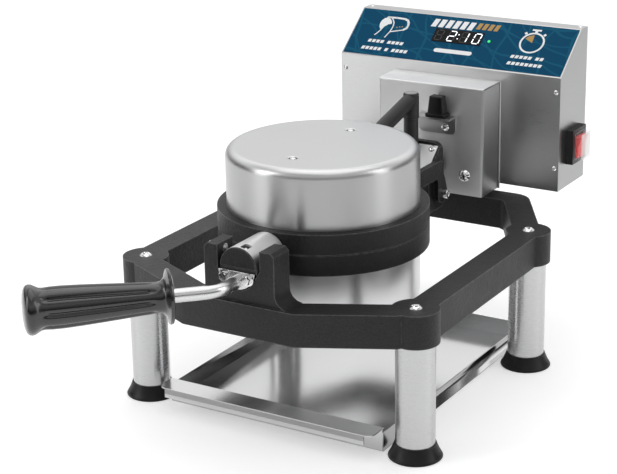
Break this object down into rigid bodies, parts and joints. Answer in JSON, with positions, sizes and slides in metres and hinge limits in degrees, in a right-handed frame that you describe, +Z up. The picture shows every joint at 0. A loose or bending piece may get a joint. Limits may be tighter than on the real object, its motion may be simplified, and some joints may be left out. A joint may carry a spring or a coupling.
{
  "type": "waffle iron",
  "caption": "Rotary waffle iron: a round hinged head with a side handle turns over in a cast stand, with a rear control box, power switch and pull-out drip tray.",
  "frame": {"origin": "on the floor plane, under the middle of the bounding box", "axes": "+Z up; -Y is the front, where the handle is; +X is the operator's right, where the power switch is"},
  "size_m": [0.347, 0.6588, 0.3167],
  "materials": {
    "cast_paint": "sand-textured charcoal paint over cast aluminium",
    "brushed_steel": "brushed stainless sheet",
    "leg_tube": "satin stainless tube",
    "machined_steel": "turned and polished steel",
    "fasteners": "bright plated screws and bolts",
    "foot_rubber": "moulded black rubber",
    "grip": "glossy black heat-resistant plastic",
    "grid_iron": "dark release-coated cast plates",
    "heater": "heat-tinted element sheath",
    "label": "blue printed overlay, pattern only",
    "display": "dark display window",
    "ready_lens": "green indicator lens",
    "black_plastic": "moulded black plastic",
    "rocker_red": "translucent red rocker",
    "clear_cover": "clear splash cover",
    "board": "circuit board",
    "transformer": "varnished laminations",
    "relay": "moulded relay case",
    "terminal": "ceramic-like terminal block",
    "bearing_housing": "dark cast flange",
    "bronze": "oil-filled bronze bush",
    "cable_sleeve": "dark rubber sleeve over the heater leads"
  },
  "bodies": {
    "stand": {"stand_frame": "cast_paint", "leg_front_left": "leg_tube", "leg_front_right": "leg_tube", "leg_rear_left": "leg_tube", "leg_rear_right": "leg_tube", "foot_front_left": "foot_rubber", "foot_front_right": "foot_rubber", "foot_rear_left": "foot_rubber", "foot_rear_right": "foot_rubber", "frame_screws": "fasteners", "pivot_bracket": "brushed_steel", "bracket_bolts": "fasteners", "control_box_shell": "brushed_steel", "control_box_back": "brushed_steel", "control_box_screws": "fasteners", "control_label": "label", "display_window": "display", "ready_light": "ready_lens", "switch_body": "black_plastic", "switch_cover": "clear_cover", "cord_gland": "black_plastic", "control_board": "board", "transformer": "transformer", "relay": "relay", "terminal_block": "terminal", "shaft_flange": "bearing_housing", "shaft_bush": "bronze", "bumper_bracket": "brushed_steel", "lid_bumper": "foot_rubber", "bumper_screw": "fasteners", "plunger_housing": "machined_steel"},
    "head": {"base_ring": "cast_paint", "base_grid_plate": "grid_iron", "base_heater": "heater", "base_sensor": "heater", "base_cover": "brushed_steel", "base_cover_screws": "fasteners", "base_hub_sleeve": "machined_steel", "handle_plate": "machined_steel", "handle_bolts": "fasteners", "handle_rod": "machined_steel", "handle_grip": "grip", "rear_yoke": "cast_paint", "junction_cover": "brushed_steel", "junction_screws": "fasteners", "hinge_bolts": "fasteners", "flip_shaft": "machined_steel", "shaft_collar": "machined_steel"},
    "lid": {"lid_ring": "cast_paint", "lid_grid_plate": "grid_iron", "lid_heater": "heater", "lid_cover": "brushed_steel", "lid_cover_screws": "fasteners", "lid_hub_sleeve": "machined_steel", "hub_screw": "machined_steel", "cable_sleeve": "cable_sleeve"},
    "tray": {"drip_tray": "brushed_steel"},
    "rocker": {"switch_rocker": "rocker_red"},
    "index_pin": {"index_pin": "machined_steel"}
  },
  "joints": [
    {"name": "head_flip", "type": "hinge", "parent": "stand", "child": "head", "pos_m": [0, 0.18755, 0.1771], "axis": [0, -1, 0], "range_deg": [-180, 0]},
    {"name": "lid_hinge", "type": "hinge", "parent": "head", "child": "lid", "pos_m": [0, 0.16855, 0.159], "axis": [-1, 0, 0], "range_deg": [0, 50], "deforming": ["cable_sleeve"]},
    {"name": "tray_slide", "type": "slide", "parent": "stand", "child": "tray", "axis": [0, -1, 0], "range_m": [0, 0.22]},
    {"name": "power_rocker", "type": "hinge", "parent": "stand", "child": "rocker", "pos_m": [0.13495, 0.28655, 0.195], "axis": [0, -1, 0], "range_deg": [0, 20]},
    {"name": "index_pin_slide", "type": "slide", "parent": "stand", "child": "index_pin", "axis": [-1, 0, 0], "range_m": [0, 0.003], "stiffness_N_per_m": 500, "springref_m": -0.002}
  ]
}
